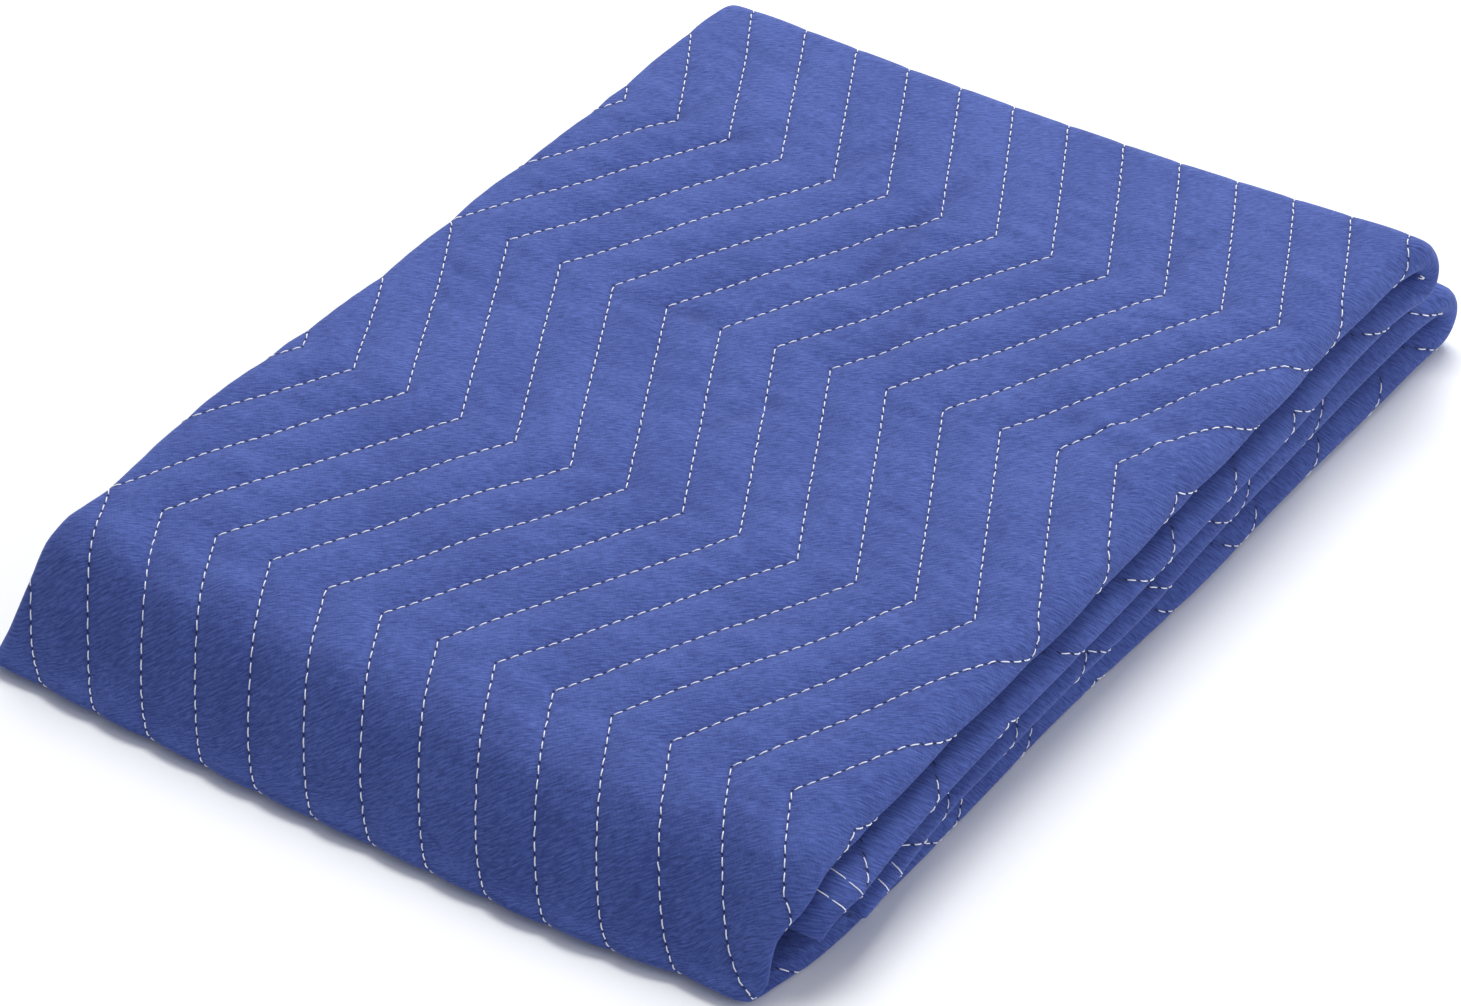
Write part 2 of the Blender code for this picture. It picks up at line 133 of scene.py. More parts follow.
PLY_PITCH = PLY + PLY_GAP
STRIP = 3 * PLY + 2 * PLY_GAP
PASS_PITCH = STRIP + PASS_GAP
STACK_HEIGHT = PASSES * STRIP + (PASSES - 1) * PASS_GAP
HALF_WIDTH = STACK_WIDTH / 2
LEFT_FOLD = PLY_PITCH / 2
RIGHT_FOLD = PLY_PITCH
X_LEFT = -HALF_WIDTH + LEFT_FOLD + PLY / 2
X_RIGHT = HALF_WIDTH - RIGHT_FOLD - PLY / 2
X_HEM_A = X_RIGHT + RIGHT_FOLD - HEM_A_SETBACK
X_HEM_B = -HALF_WIDTH + HEM_B_SETBACK
FAR_BEND = PASS_PITCH / 2
ROLL_MID = FRONT_ROLL - STRIP / 2
NOSE_MID = NOSE - STRIP / 2
NOSE_TURN = math.pi - FRONT_ROLL_TURN
FLAP_ROLL = ROLL_MID - PASS_PITCH
Z_TOP_PASS = STACK_HEIGHT - STRIP / 2
# The straight run between roll and nose fills the height that both leave
SLOPE = ((Z_TOP_PASS - STRIP / 2 - ROLL_MID * (1 - math.cos(FRONT_ROLL_TURN))
          - NOSE_MID * (1 + math.cos(FRONT_ROLL_TURN))) / math.sin(FRONT_ROLL_TURN))
# How far the roll starts behind the foremost point, which is on the nose
BEHIND_FRONT = (ROLL_MID * math.sin(FRONT_ROLL_TURN) + SLOPE * math.cos(FRONT_ROLL_TURN)
                + NOSE_MID * (1 - math.sin(FRONT_ROLL_TURN)) + STRIP / 2)
Y_ROLL = FRONT + BEHIND_FRONT
Y_NOSE = (Y_ROLL - ROLL_MID * math.sin(FRONT_ROLL_TURN) - SLOPE * math.cos(FRONT_ROLL_TURN)
          + NOSE_MID * math.sin(FRONT_ROLL_TURN))
Y_FAR = FAR_SIDE - FAR_BEND - STRIP / 2

# Each run has a length and a turn
SECTION = {
    "flap A": (X_HEM_A - X_LEFT, 0.0),
    "left fold": (math.pi * LEFT_FOLD, -math.pi),
    "centre": (X_RIGHT - X_LEFT, 0.0),
    "right fold": (math.pi * RIGHT_FOLD, -math.pi),
    "flap B": (X_RIGHT - X_HEM_B, 0.0),
}
PATH = {
    "upper end droop": (FLAP_ROLL * FLAP_DROOP, -FLAP_DROOP),
    "upper end": (Y_FAR - Y_ROLL, 0.0),
    "upper far bend": (math.pi * FAR_BEND, math.pi),
    "top": (Y_FAR - Y_ROLL, 0.0),
    "front roll": (ROLL_MID * FRONT_ROLL_TURN, FRONT_ROLL_TURN),
    "front slope": (SLOPE, 0.0),
    "nose": (NOSE_MID * NOSE_TURN, NOSE_TURN),
    "bottom": (Y_FAR - Y_NOSE, 0.0),
    "lower far bend": (math.pi * FAR_BEND, math.pi),
    "lower end": (Y_FAR - Y_ROLL - LOWER_END_SETBACK, 0.0),
}


def lengths_and_turns(runs):
    """The lengths and the turns of the runs as two arrays."""
    return np.array(list(runs.values())).T


def starts_of(runs):
    """Distance along a course at which each of its runs starts, and its full length."""
    marks = running(lengths_and_turns(runs)[0])
    return dict(zip(runs, marks)), float(marks[-1])


U_START, CLOTH_WIDTH = starts_of(SECTION)
V_START, CLOTH_LENGTH = starts_of(PATH)
ROW_ZERO = V_START["top"] + Y_FAR - FIRST_ROW
print("cloth laid flat", round(CLOTH_WIDTH, 3), "by", round(CLOTH_LENGTH, 3), "m")

# %% [markdown]
# ## How the stack settles
# Real padding settles unevenly: the far end stands higher than the front, the middle
# sags on the left, the side edges of the four passes wander by a few millimetres, and
# the lower far bend stands out at the right. Short tables hold those heights and
# shifts, and smooth curves run through them.

# %% Heights and edge shifts
# y, then the height of the stack at its left side, middle and right side, in mm
HEIGHTS = np.array([
    (-376, 15.0, 15.0, 15.0),
    (-371, 16.5, 17.5, 18.0),
    (-366, 20.5, 23.0, 25.0),
    (-356, 32.5, 31.5, 32.5),
    (-345, 42.5, 38.5, 37.5),
    (-331, 46.8, 41.5, 41.5),
    (-318, 47.3, 42.2, 43.5),
    (-210, 52.8, 47.5, 51.0),
    (-105, 50.0, 48.0, 55.0),
    (0, 53.3, 53.0, 59.0),
    (95, 54.6, 52.6, 60.5),
]) * MM
# y, then how far out the left side stands, and the right sides of the four passes from
# the lowest one up, in mm
EDGES = np.array([
    (-376, 1.0, -5.0, -4.0, -8.0, -10.0),
    (-360, 1.5, -3.0, 2.0, -5.0, -7.0),
    (-345, 1.5, 0.0, 8.0, 3.0, -2.1),
    (-325, -0.5, 1.7, 11.0, 9.0, -2.0),
    (-300, -0.8, 2.0, 9.5, 7.8, -1.2),
    (-260, 1.3, 1.6, 5.1, 6.0, -1.5),
    (-220, -0.5, 0.5, 4.0, 4.8, -1.4),
    (-180, -1.5, -0.6, 3.4, 4.4, -0.8),
    (-130, 0.3, 0.2, 3.7, 3.2, -2.2),
    (-83, 2.7, 0.9, 0.5, 2.4, -3.0),
    (-20, 0.9, -1.0, -1.2, 1.0, -4.1),
    (44, 1.8, -1.5, -3.6, -3.0, -6.1),
    (74, 3.0, -1.8, -2.8, -2.8, -5.2),
    (98, 1.5, 0.5, 1.0, 1.0, -0.5),
]) * MM
# x, then how far the front is set back there, in mm
FRONT_BOW = np.array([(-165, 4.0), (-110, 2.6), (-50, 0.9), (20, 0.6), (80, 1.5), (110, 3.5),
                      (140, 7.0), (165, 6.0)]) * MM
FRONT_BOW_REACH = 60.0 * MM  # how far from the front that fades out
LEFT_STEP = 1.3 * MM  # how much farther out each lower pass stands at the left
EDGE_ZONE = 34.0 * MM  # width of the band at each side that the shifts move
LOWER_BEND_PROUD = 18.0 * MM  # how far the lower far bend stands out at the right
PROUD_RANGE = (-50.0 * MM, 90.0 * MM)  # y at which that starts and is full
EDGE_PINCH = 0.45  # share of its thickness that the strip loses at the right fold
PINCH_WIDTH = 17.0 * MM
PINCH_LEVEL = 2.1 * MM  # how far below the strip's middle the pinched edge closes
PINCH_END = 70.0 * MM  # y at which the pinch starts to fade towards the far bends
SHOULDER = 0.035  # share of its height that the stack loses at its sides
SHOULDER_WIDTH = 30.0 * MM
print("settled heights from", HEIGHTS[:, 1:].min() / MM, "to", HEIGHTS[:, 1:].max() / MM, "mm")

# %% From the flat cloth to the folded cloth


def course(distance, runs, start, heading):
    """Points and headings on a course of straight runs and arcs.

    Within a run of length L and turn T the heading grows by T/L for each metre, so
    the position is the integral of its cosine and sine.
    """
    lengths, turns = lengths_and_turns(runs)
    bends = np.where(turns == 0, 1.0, turns / lengths)
    headings = heading + running(turns)[:-1]

    def moved(run, along):
        """How far a point lies from the start of its run, given the run's number."""
        angle, bend = headings[run], bends[run]
        straight = turns[run] == 0
        across = np.where(straight, along * np.cos(angle),
                          (np.sin(angle + bend * along) - np.sin(angle)) / bend)
        up = np.where(straight, along * np.sin(angle),
                      (np.cos(angle) - np.cos(angle + bend * along)) / bend)
        return across, up

    whole_across, whole_up = moved(np.arange(len(lengths)), lengths)
    first_across, first_up = start[0] + running(whole_across), start[1] + running(whole_up)
    run_starts = running(lengths)[:-1]
    run = np.clip(np.searchsorted(run_starts, distance, side="right") - 1, 0, len(lengths) - 1)
    along = distance - run_starts[run]
    across, up = moved(run, along)
    turned = headings[run] + turns[run] / lengths[run] * along
    return first_across[run] + across, first_up[run] + up, turned


def smooth_step(low, high, value):
    """0 below low, 1 above high and a smooth S between them: 3t^2 - 2t^3."""
    part = np.clip((value - low) / (high - low), 0.0, 1.0)
    return part * part * (3 - 2 * part)


def smooth_curve(value, knots, levels):
    """A cubic Hermite curve through the levels, each slope taken from its neighbours."""
    value = np.clip(value, knots[0], knots[-1])
    span = np.clip(np.searchsorted(knots, value, side="right") - 1, 0, len(knots) - 2)
    slope = np.gradient(levels, knots)
    width = knots[span + 1] - knots[span]
    part = (value - knots[span]) / width
    return ((1 + 2 * part) * (1 - part) ** 2 * levels[span]
            + part * (1 - part) ** 2 * width * slope[span]
            + part ** 2 * (3 - 2 * part) * levels[span + 1]
            - part ** 2 * (1 - part) * width * slope[span + 1])


def curves_along(y, table):
    """The table's columns at y, each as a smooth curve over its first column."""
    return np.stack([smooth_curve(y, table[:, 0], column) for column in table.T[1:]])


def near_side(x):
    """1 at the right side and 0 inside, with a smooth rise across the edge zone."""
    return smooth_step(HALF_WIDTH - EDGE_ZONE, HALF_WIDTH, x)


def stack_height(x, y):
    """Height of the settled stack: a parabola in x through the three columns of HEIGHTS."""
    left, middle, right = curves_along(y, HEIGHTS)
    side = np.clip(x / HALF_WIDTH, -1.0, 1.0)
    return (left * (side ** 2 - side) + right * (side ** 2 + side)) / 2 + middle * (1 - side ** 2)


def between_passes(passes, level):
    """Shift of the right side at a level, straight from each pass to the next one."""
    place = np.clip(PASSES * level - 0.5, 0.0, PASSES - 1.0)
    below = np.minimum(place.astype(int), PASSES - 2)
    low = np.take_along_axis(passes, below[None], axis=0)[0]
    high = np.take_along_axis(passes, below[None] + 1, axis=0)[0]
    return low + (high - low) * (place - below)


def settle(x, y, z):
    """Turn the even fold into the uneven stack; the underside stays flat at z = 0."""
    level = z / STACK_HEIGHT
    shoulder = np.clip((np.abs(x) - HALF_WIDTH + SHOULDER_WIDTH) / SHOULDER_WIDTH, 0.0, 1.0) ** 2
    tall = z * stack_height(x, y) / STACK_HEIGHT * (1 - SHOULDER * shoulder)
    left, *passes = curves_along(y, EDGES)
    passes_above = np.clip(PASSES - 0.5 - PASSES * level, 0, PASSES - 1)
    to_left = (left + LEFT_STEP * passes_above) * near_side(-x)
    to_right = between_passes(np.stack(passes), level) * near_side(x)
    at_corner = smooth_step(-HALF_WIDTH, HALF_WIDTH, x) * smooth_step(*PROUD_RANGE, y)
    proud = np.where(level < 0.5, LOWER_BEND_PROUD, 0.0) * at_corner
    back = curves_along(x, FRONT_BOW)[0] * (1 - smooth_step(FRONT, FRONT + FRONT_BOW_REACH, y))
    return x + to_right - to_left, y + proud + back, tall


def pinched(x, across, y, v):
    """Distance across the strip once it is pinched at the right fold.

    The upper face of a pass dips towards the fold more and more steeply, as the square
    of the distance gone, and the lower face rises less. The lowest pass stays on the floor.
    """
    near_fold = np.clip((x - HALF_WIDTH + PINCH_WIDTH) / PINCH_WIDTH, 0.0, 1.0) ** 2
    near_fold = near_fold * (1 - smooth_step(PINCH_END, FAR_SIDE, y))
    knots = [V_START[run] for run in ("upper far bend", "top", "front roll", "bottom",
                                      "lower far bend", "lower end")]
    levels = [PINCH_LEVEL, -PINCH_LEVEL, -PINCH_LEVEL, STRIP / 2, STRIP / 2, -PINCH_LEVEL]
    fixed = np.interp(v, knots, levels)
    return fixed + (across - fixed) * (1 - EDGE_PINCH * near_fold)


def cloth_point(u, v, offset):
    """World point of the cloth point (u, v), offset from its middle towards the outer face."""
    x, across, turn_u = course(u, SECTION, (X_HEM_A, 0.0), np.pi)
    x = x - offset * np.sin(turn_u)
    across = across + offset * np.cos(turn_u)
    start = (Y_ROLL - FLAP_ROLL * np.sin(FLAP_DROOP),
             Z_TOP_PASS - PASS_PITCH - FLAP_ROLL * (1 - np.cos(FLAP_DROOP)))
    y, z, turn_v = course(v, PATH, start, FLAP_DROOP)
    across = pinched(x, across, y, v)
    folded = settle(x, y + across * np.sin(turn_v), z - across * np.cos(turn_v))
    return np.stack(folded, axis=-1) - CENTRE


print("stack height", round(STACK_HEIGHT / MM, 1), "mm before it settles")

# %% [markdown]
# ## The quilting
# A machine with many needles sews all the zigzag lines at once, about one inch apart.
# Each line pulls the cover down in a narrow groove and the padding arches up between
# two lines. The seam coordinates say where a cloth point lies in that pattern: whole
# numbers across are lines, whole numbers along are needle holes. The arch is nearly a
# parabola between two lines. Where the face is pressed against the floor or another
# pass, the arches are flat and only the grooves are left.

# %% Seam coordinates
STITCHES_PER_ROW = 24
STITCH_PITCH = math.hypot(ZIGZAG_ROW, ZIGZAG_SWING) / STITCHES_PER_ROW
LINE_FAN = 4.4 * MM  # how far the lines spread towards the far right corner
FAN_SIDE = (-60.0 * MM, 130.0 * MM)  # x at which the spread starts and is full
FAN_FAR = (-40.0 * MM, 110.0 * MM)  # y at which it starts and is full
LINE_PULL = 3.0 * MM  # how far to the left the right fold pulls the pattern beside it
ROW_PULL = 4.5 * MM  # and how far to the back
PULL_SIDE = (95.0 * MM, 150.0 * MM)  # x at which the pull starts and is full
PULL_FRONT = (-320.0 * MM, -190.0 * MM)  # y at which it starts and is full
PULL_FAR = (20.0 * MM, 85.0 * MM)  # y at which it starts to fade and ends
LINE_TURNS = 14  # rounds in which a line's place and its drift come to agree
FINE_V = np.linspace(0.0, CLOTH_LENGTH, 4001)  # steps of about half a millimetre

BEND_MARKS, BEND_TURNS = (running(steps) for steps in lengths_and_turns(PATH))
BEND_TURNS = BEND_TURNS - np.interp(V_START["top"], BEND_MARKS, BEND_TURNS)


def sewn_length(v):
    """Length along the outer ply: V, and the longer way round that it takes at the bends."""
    return v + PLY_PITCH * np.interp(v, BEND_MARKS, BEND_TURNS)


def row_number(v):
    """How many zigzag rows v lies from the first one; the corners are at whole numbers."""
    return (sewn_length(v) - ROW_ZERO) / ZIGZAG_ROW


def place_of_row(rows):
    """V of the given row numbers, read off a fine table."""
    return np.interp(rows, row_number(FINE_V), FINE_V)


def place_on_top(u, v):
    """X of the strip at u and Y of the path at v, before the stack settles."""
    start = (Y_ROLL - FLAP_ROLL * math.sin(FLAP_DROOP), 0.0)
    y = course(v, PATH, start, FLAP_DROOP)[0]
    return np.clip(u - U_START["centre"] + X_LEFT, -HALF_WIDTH, HALF_WIDTH), y


def edge_pull(u, v):
    """1 near the right side, where the fold has pulled the pattern back, fading at both ends."""
    x, y = place_on_top(u, v)
    between = smooth_step(*PULL_FRONT, y) * (1 - smooth_step(*PULL_FAR, y))
    return smooth_step(*PULL_SIDE, x) * between


def rows_at(u, v):
    """Row number at a cloth point, with the corners near the right side set back."""
    return row_number(v + ROW_PULL * edge_pull(u, v))


def swing(u, v):
    """The lines' sideways swing, from 0 to 1 and back once in two rows."""
    rows = np.mod(rows_at(u, v), 2.0)
    return np.where(rows < 1, rows, 2 - rows)


def seam_drift(u, v):
    """How far right the lines lie of their even places.

    They spread towards the far right corner, and they don't follow the shifts of the
    right side, so on the top pass they run on straight to a fold that wanders.
    """
    x, y = place_on_top(u, v)
    spread = smooth_step(*FAN_SIDE, x) * smooth_step(*FAN_FAR, y)
    top_shift = curves_along(y, EDGES)[-1]
    return LINE_FAN * spread - top_shift * near_side(x) - LINE_PULL * edge_pull(u, v)


def seam_place(u, v):
    """Seam coordinates of the cloth point: line number, and needle hole number along it."""
    across = u - U_START["centre"] - FIRST_LINE + ZIGZAG_SWING * swing(u, v) - seam_drift(u, v)
    return across / LINE_SPACING, rows_at(u, v) * STITCHES_PER_ROW


def line_u(number, v):
    """U of the given line, or of a place between two lines, at v.

    Swing and drift depend on u themselves, so they are added in a few rounds.
    """
    even = U_START["centre"] + FIRST_LINE + number * LINE_SPACING
    u = even - ZIGZAG_SWING * swing(even, v)
    for turn in range(LINE_TURNS):
        u = even - ZIGZAG_SWING * swing(u, v) + seam_drift(u, v)
    return u


print(STITCHES_PER_ROW, "stitches to a zigzag leg, each", round(STITCH_PITCH / MM, 2), "mm")

# %% The height of the quilting
QUILT_CREST = 1.25 * MM  # how far the arch rises above the plain face
QUILT_VALLEY = 0.85 * MM  # and how far the groove goes below it
ARCH_POWER = 2.1
FOLD_QUILT = 0.42  # share of the arch left on the tightly bent side folds
QUILT_FADE = (-4.0 * MM, 20.0 * MM)  # distances from a fold at which it starts and is whole
TOP_FADE = 45.0 * MM  # length in which the arch is whole again beyond the far bend
BEND_QUILT = 0.35  # share of the quilting left on the two far bends
BEND_FADE = 14.0 * MM


def from_side_fold(u):
    """Distance to the nearer side fold, negative beyond it."""
    return np.minimum(u - U_START["centre"], U_START["right fold"] - u)


def exposed(v):
    """1 where the outer face is free, 0 where it lies on the floor or on another pass.

    On the far bends the cover is drawn tight, which leaves little of the arch.
    """
    bend = PATH["upper far bend"][0]
    nose = PATH["nose"][0]
    knots = [V_START["upper far bend"], V_START["upper far bend"] + bend / 3, V_START["top"],
             V_START["top"] + TOP_FADE, V_START["nose"],
             V_START["nose"] + nose / 2, V_START["lower far bend"] + bend / 6,
             V_START["lower far bend"] + bend / 2, V_START["lower end"] - bend / 6]
    return np.interp(v, knots, [0, 0.06, 0.1, 1, 1, 0, 0, 0.1, 0])


def drawn_flat(v):
    """Share of the quilting that is left at v: the tight cover of the far bends keeps little."""
    knots = []
    for bend in ("upper far bend", "lower far bend"):
        end = V_START[bend] + PATH[bend][0]
        knots += [V_START[bend] - BEND_FADE, V_START[bend], end, end + BEND_FADE]
    return np.interp(v, knots, [1, BEND_QUILT, BEND_QUILT, 1] * 2)


def hem_free(v):
    """0 on the turned hems at both ends, where the zigzag is covered, and 1 between them."""
    from_end = np.minimum(v, CLOTH_LENGTH - v)
    return smooth_step(END_HEM, END_HEM + HEM_STEP, from_end)


def quilting(u, v):
    """Height of the quilted face over the plain one, an arch between two lines.

    With t from -1 to 1 between them, it is (crest + valley)(1 - |t|^2.1) - valley.
    """
    across, along = seam_place(u, v)
    part = np.abs(2 * (across - np.floor(across)) - 1)
    arch = (QUILT_CREST + QUILT_VALLEY) * (1 - part ** ARCH_POWER) - QUILT_VALLEY
    arch = arch * (FOLD_QUILT + (1 - FOLD_QUILT) * smooth_step(*QUILT_FADE, from_side_fold(u)))
    free = exposed(v)
    return (free * arch + (1 - free) * np.minimum(arch, 0.0)) * hem_free(v) * drawn_flat(v)


print("from groove to crest", round((QUILT_CREST + QUILT_VALLEY) / MM, 2), "mm")

# %% [markdown]
# ## Creases and puckers
# The sewing thread draws the cover together, so short ripples cross each channel at
# right angles to its lines. On top of them lie a few soft creases from packing. The
# ripples come from a seeded table of waves, one set for each channel, and each crease
# is listed as a straight trough or ridge with a bell-shaped cross-section.

# %% Puckers between the lines and listed creases
RIPPLE_SEED = 11
RIPPLE_HEIGHT = 0.42 * MM
RIPPLE_LENGTHS = (10.0, 28.0)  # mm
RIPPLE_SLANT = 1.6  # the most that a wave turns between middle and line, in radians
RIPPLE_EDGE = 0.7  # the smaller, the nearer to the lines the waves reach
RIPPLE_WAVES = 4  # in each of the sets
CHANNELS = 40  # sets of waves
LUMP_SEED = 5
LUMP_HEIGHT = 0.55 * MM
LUMP_LENGTHS = (30.0, 90.0)  # mm
LUMP_WAVES = 9
UNEVEN_FADE = (-8.0 * MM, 14.0 * MM)  # distances from a fold at which it starts and is whole
CREASE_DEPTH = 1.8  # all the creases of the table are made this much deeper
CREASE_WIDTH = 1.6  # and this much wider
CREASE_END = 1.5  # how much slower they fade at their ends than at their sides

# On the top pass, in mm: x and y of both ends, width and height (a trough is negative)
CREASES = [
    (-13, 43, -10, -42, 2.2, -0.75),
    (-19, 41, -16, -38, 3.2, 0.30),
    (90, 52, 86, 18, 2.0, -0.55),
    (-105, 4, -92, 21, 2.0, -0.55),
    (-110, 6, -97, 23, 2.2, 0.35),
    (-58, 14, -48, 36, 2.0, -0.50),
    (-132, 3, -124, 27, 2.4, -0.45),
    (-63, -104, -50, -100, 2.2, -0.50),
    (-50, -100, -38, -103, 2.2, -0.50),
    (-2, -154, 5, -133, 2.6, -0.70),
    (51, -181, 56, -173, 2.2, -0.50),
    (111, -94, 118, -78, 2.6, 0.85),
    (118, -78, 142, -80, 2.6, 0.85),
    (108, -88, 114, -74, 2.2, -0.45),
    (130, -88, 145, -66, 2.4, -0.60),
    (152, -332, 168, -316, 3.2, 0.60),
    (66, -333, 75, -322, 3.0, -0.35),
    (133, -139, 160, -142, 2.4, -0.40),
    (140, -128, 163, -133, 2.4, -0.35),
    (-146, 64, -114, 61, 3.0, -0.35),
    (22, -82, 23, -44, 2.4, -0.35),
    (169, -143, 175, -117, 3.0, -0.40),
    (-70, -36, -55, -20, 2.4, -0.35),
    (-30, -240, -12, -222, 3.0, -0.30),
    (60, -250, 84, -238, 3.0, -0.30),
]


def ripples(u, v):
    """Small waves along each channel: sines of their own lengths that die out at its lines."""
    seeds = np.random.default_rng(RIPPLE_SEED)
    lengths = seeds.uniform(*RIPPLE_LENGTHS, (CHANNELS, RIPPLE_WAVES)) * MM
    phases = seeds.uniform(0, 2 * np.pi, (CHANNELS, RIPPLE_WAVES))
    slants = seeds.uniform(-RIPPLE_SLANT, RIPPLE_SLANT, (CHANNELS, RIPPLE_WAVES))
    across, along = seam_place(u, v)
    channel = np.floor(across).astype(int) % CHANNELS
    part = across - np.floor(across)
    waves = np.zeros(np.shape(across))
    for wave in range(RIPPLE_WAVES):
        turn = 2 * np.pi * v / lengths[channel, wave] + slants[channel, wave] * 2 * part
        waves += np.sin(turn + phases[channel, wave])
    strength = np.sin(np.pi * part) ** RIPPLE_EDGE
    return RIPPLE_HEIGHT * waves / math.sqrt(RIPPLE_WAVES) * strength


def lumps(u, v):
    """Slow unevenness of the padding: a sum of seeded plane waves."""
    seeds = np.random.default_rng(LUMP_SEED)
    total = np.zeros(np.shape(u))
    for wave in range(LUMP_WAVES):
        length = seeds.uniform(*LUMP_LENGTHS) * MM
        angle, phase = seeds.uniform(0, 2 * np.pi, 2)
        total += np.sin(2 * np.pi * (u * math.cos(angle) + v * math.sin(angle)) / length + phase)
    return LUMP_HEIGHT * total / math.sqrt(LUMP_WAVES)


def creases(u, v):
    """Troughs and ridges along the table's lines: e to the minus squared distance in widths."""
    x = (u - U_START["centre"] + X_LEFT) / MM
    y = (Y_FAR - (v - V_START["top"])) / MM
    total = np.zeros(np.shape(x))
    for x0, y0, x1, y1, width, height in CREASES:
        length = math.hypot(x1 - x0, y1 - y0)
        along = ((x - x0) * (x1 - x0) + (y - y0) * (y1 - y0)) / length
        beside = ((x - x0) * (y1 - y0) - (y - y0) * (x1 - x0)) / length
        past_end = np.maximum(0.0, np.abs(along - length / 2) - length / 2)
        spread = CREASE_WIDTH * width
        bell = np.exp(-(beside / spread) ** 2 - (past_end / (CREASE_END * spread)) ** 2)
        total += CREASE_DEPTH * height * MM * bell
    return total


def outer_height(u, v):
    """Height of the outer face above the middle of the ply."""
    uneven = ripples(u, v) + lumps(u, v) + creases(u, v)
    uneven = uneven * smooth_step(*UNEVEN_FADE, from_side_fold(u))
    hem = END_HEM_EXTRA * (1 - hem_free(v))
    return PLY / 2 + quilting(u, v) + uneven * exposed(v) * hem_free(v) + hem


print(len(CREASES), "creases placed by hand")

# %% [markdown]
# ## The cloth
# The sheet is one closed mesh: a loop round the cloth's section, outer face, rounded
# long edge, inner face and other edge, repeated at some hundreds of stations along the
# blanket. Its outer columns follow the zigzag lines, so that each groove is a clean row
# of edges. Columns that a line carries past a side fold crowd together there, and the
# plies that nobody sees get few columns.

# %% Columns and stations of the fine grid
# Places between two lines that have a column
CHANNEL_STEPS = np.array([0.0, 0.06, 0.18, 0.34, 0.5, 0.66, 0.82, 0.94])
COLUMN_WAIT = 0.3 * MM  # step between the columns that crowd together at a fold
COLUMN_BLEND = 1.2 * MM
RIM = 1.2 * MM  # how far the rounded long edges stand out
END_ROUNDING = 1.5 * MM
END_THINNING = 0.55  # share of its thickness left at a cut end
FLAP_MARGIN = 1.0 * MM  # no sewn face nearer than this to the plain flaps
STATION_DECIMALS = 7  # stations that agree to so many decimals are one
# Numbers of columns on the plain plies and folds, on the outer and on the inner face
OUTER_COLUMNS = {"flap A": 7, "left fold": 9, "right fold": 15}
INNER_COLUMNS = {"flap A": 7, "left fold": 5, "centre": 9, "right fold": 6}
# Columns of flap B, from the right fold on, in mm
FLAP_B_COLUMNS = np.array([1.5, 3.0, 5.0, 7.5, 10.5, 15.0, 24.0, 50.0, 110.0, 180.0, 250.0]) * MM

# The longest step between two stations on each run of the path, in mm
STATION_STEP = {"upper end droop": 3.0, "upper end": 5.5, "upper far bend": 1.5, "top": 2.9,
                "front roll": 2.9, "front slope": 2.9, "nose": 1.4, "bottom": 5.5,
                "lower far bend": 1.5, "lower end": 5.5}


def stations():
    """Places along the blanket: run starts and zigzag corners, with even steps between them."""
    first, last = row_number(0.0), row_number(CLOTH_LENGTH)
    halves = np.arange(math.ceil(2 * first), math.floor(2 * last) + 1)
    corners = place_of_row(halves / 2)
    ends = [0.0, END_ROUNDING / 2, END_ROUNDING, END_HEM, END_HEM + HEM_STEP]
    ends += [CLOTH_LENGTH - distance for distance in ends]
    names, starts = list(PATH), np.array(list(V_START.values()))
    marks = np.unique(np.round(np.concatenate([ends, starts, corners]), STATION_DECIMALS))
    placed = []
    for low, high in zip(marks[:-1], marks[1:]):
        run = names[int(np.searchsorted(starts, (low + high) / 2, side="right")) - 1]
        steps = max(1, math.ceil((high - low) / (STATION_STEP[run] * MM)))
        placed.append(np.linspace(low, high, steps, endpoint=False))
    return np.concatenate(placed + [[marks[-1]]])


def softly_above(value, floor):
    """The larger of two lengths, rounded off where they are alike."""
    return (value + floor + np.sqrt((value - floor) ** 2 + COLUMN_BLEND ** 2)) / 2


def seam_columns(v):
    """U of the columns that follow the lines, kept between the two side folds."""
    first, last = U_START["centre"], U_START["right fold"]
    channels = math.ceil((last - first + ZIGZAG_SWING - FIRST_LINE) / LINE_SPACING)
    places = (np.arange(channels)[:, None] + CHANNEL_STEPS).ravel()
    number = np.arange(len(places))
    follow = line_u(places, np.broadcast_to(v[:, None], (len(v), len(places)))) - first
    follow = softly_above(follow, COLUMN_WAIT * (number + 1.0))
    room = COLUMN_WAIT * (len(places) - number)
    return last - softly_above(last - first - follow, room)


def fold_columns(name, counts):
    """U at even angles round a side fold, both ends included."""
    return U_START[name] + SECTION[name][0] * np.linspace(0, 1, counts[name])


def flat_columns(name, counts):
    """U at even places on a flat ply, without its ends."""
    return U_START[name] + SECTION[name][0] * np.linspace(0, 1, counts[name] + 2)[1:-1]


print(len(stations()), "stations along the blanket")

# %% The fine grid


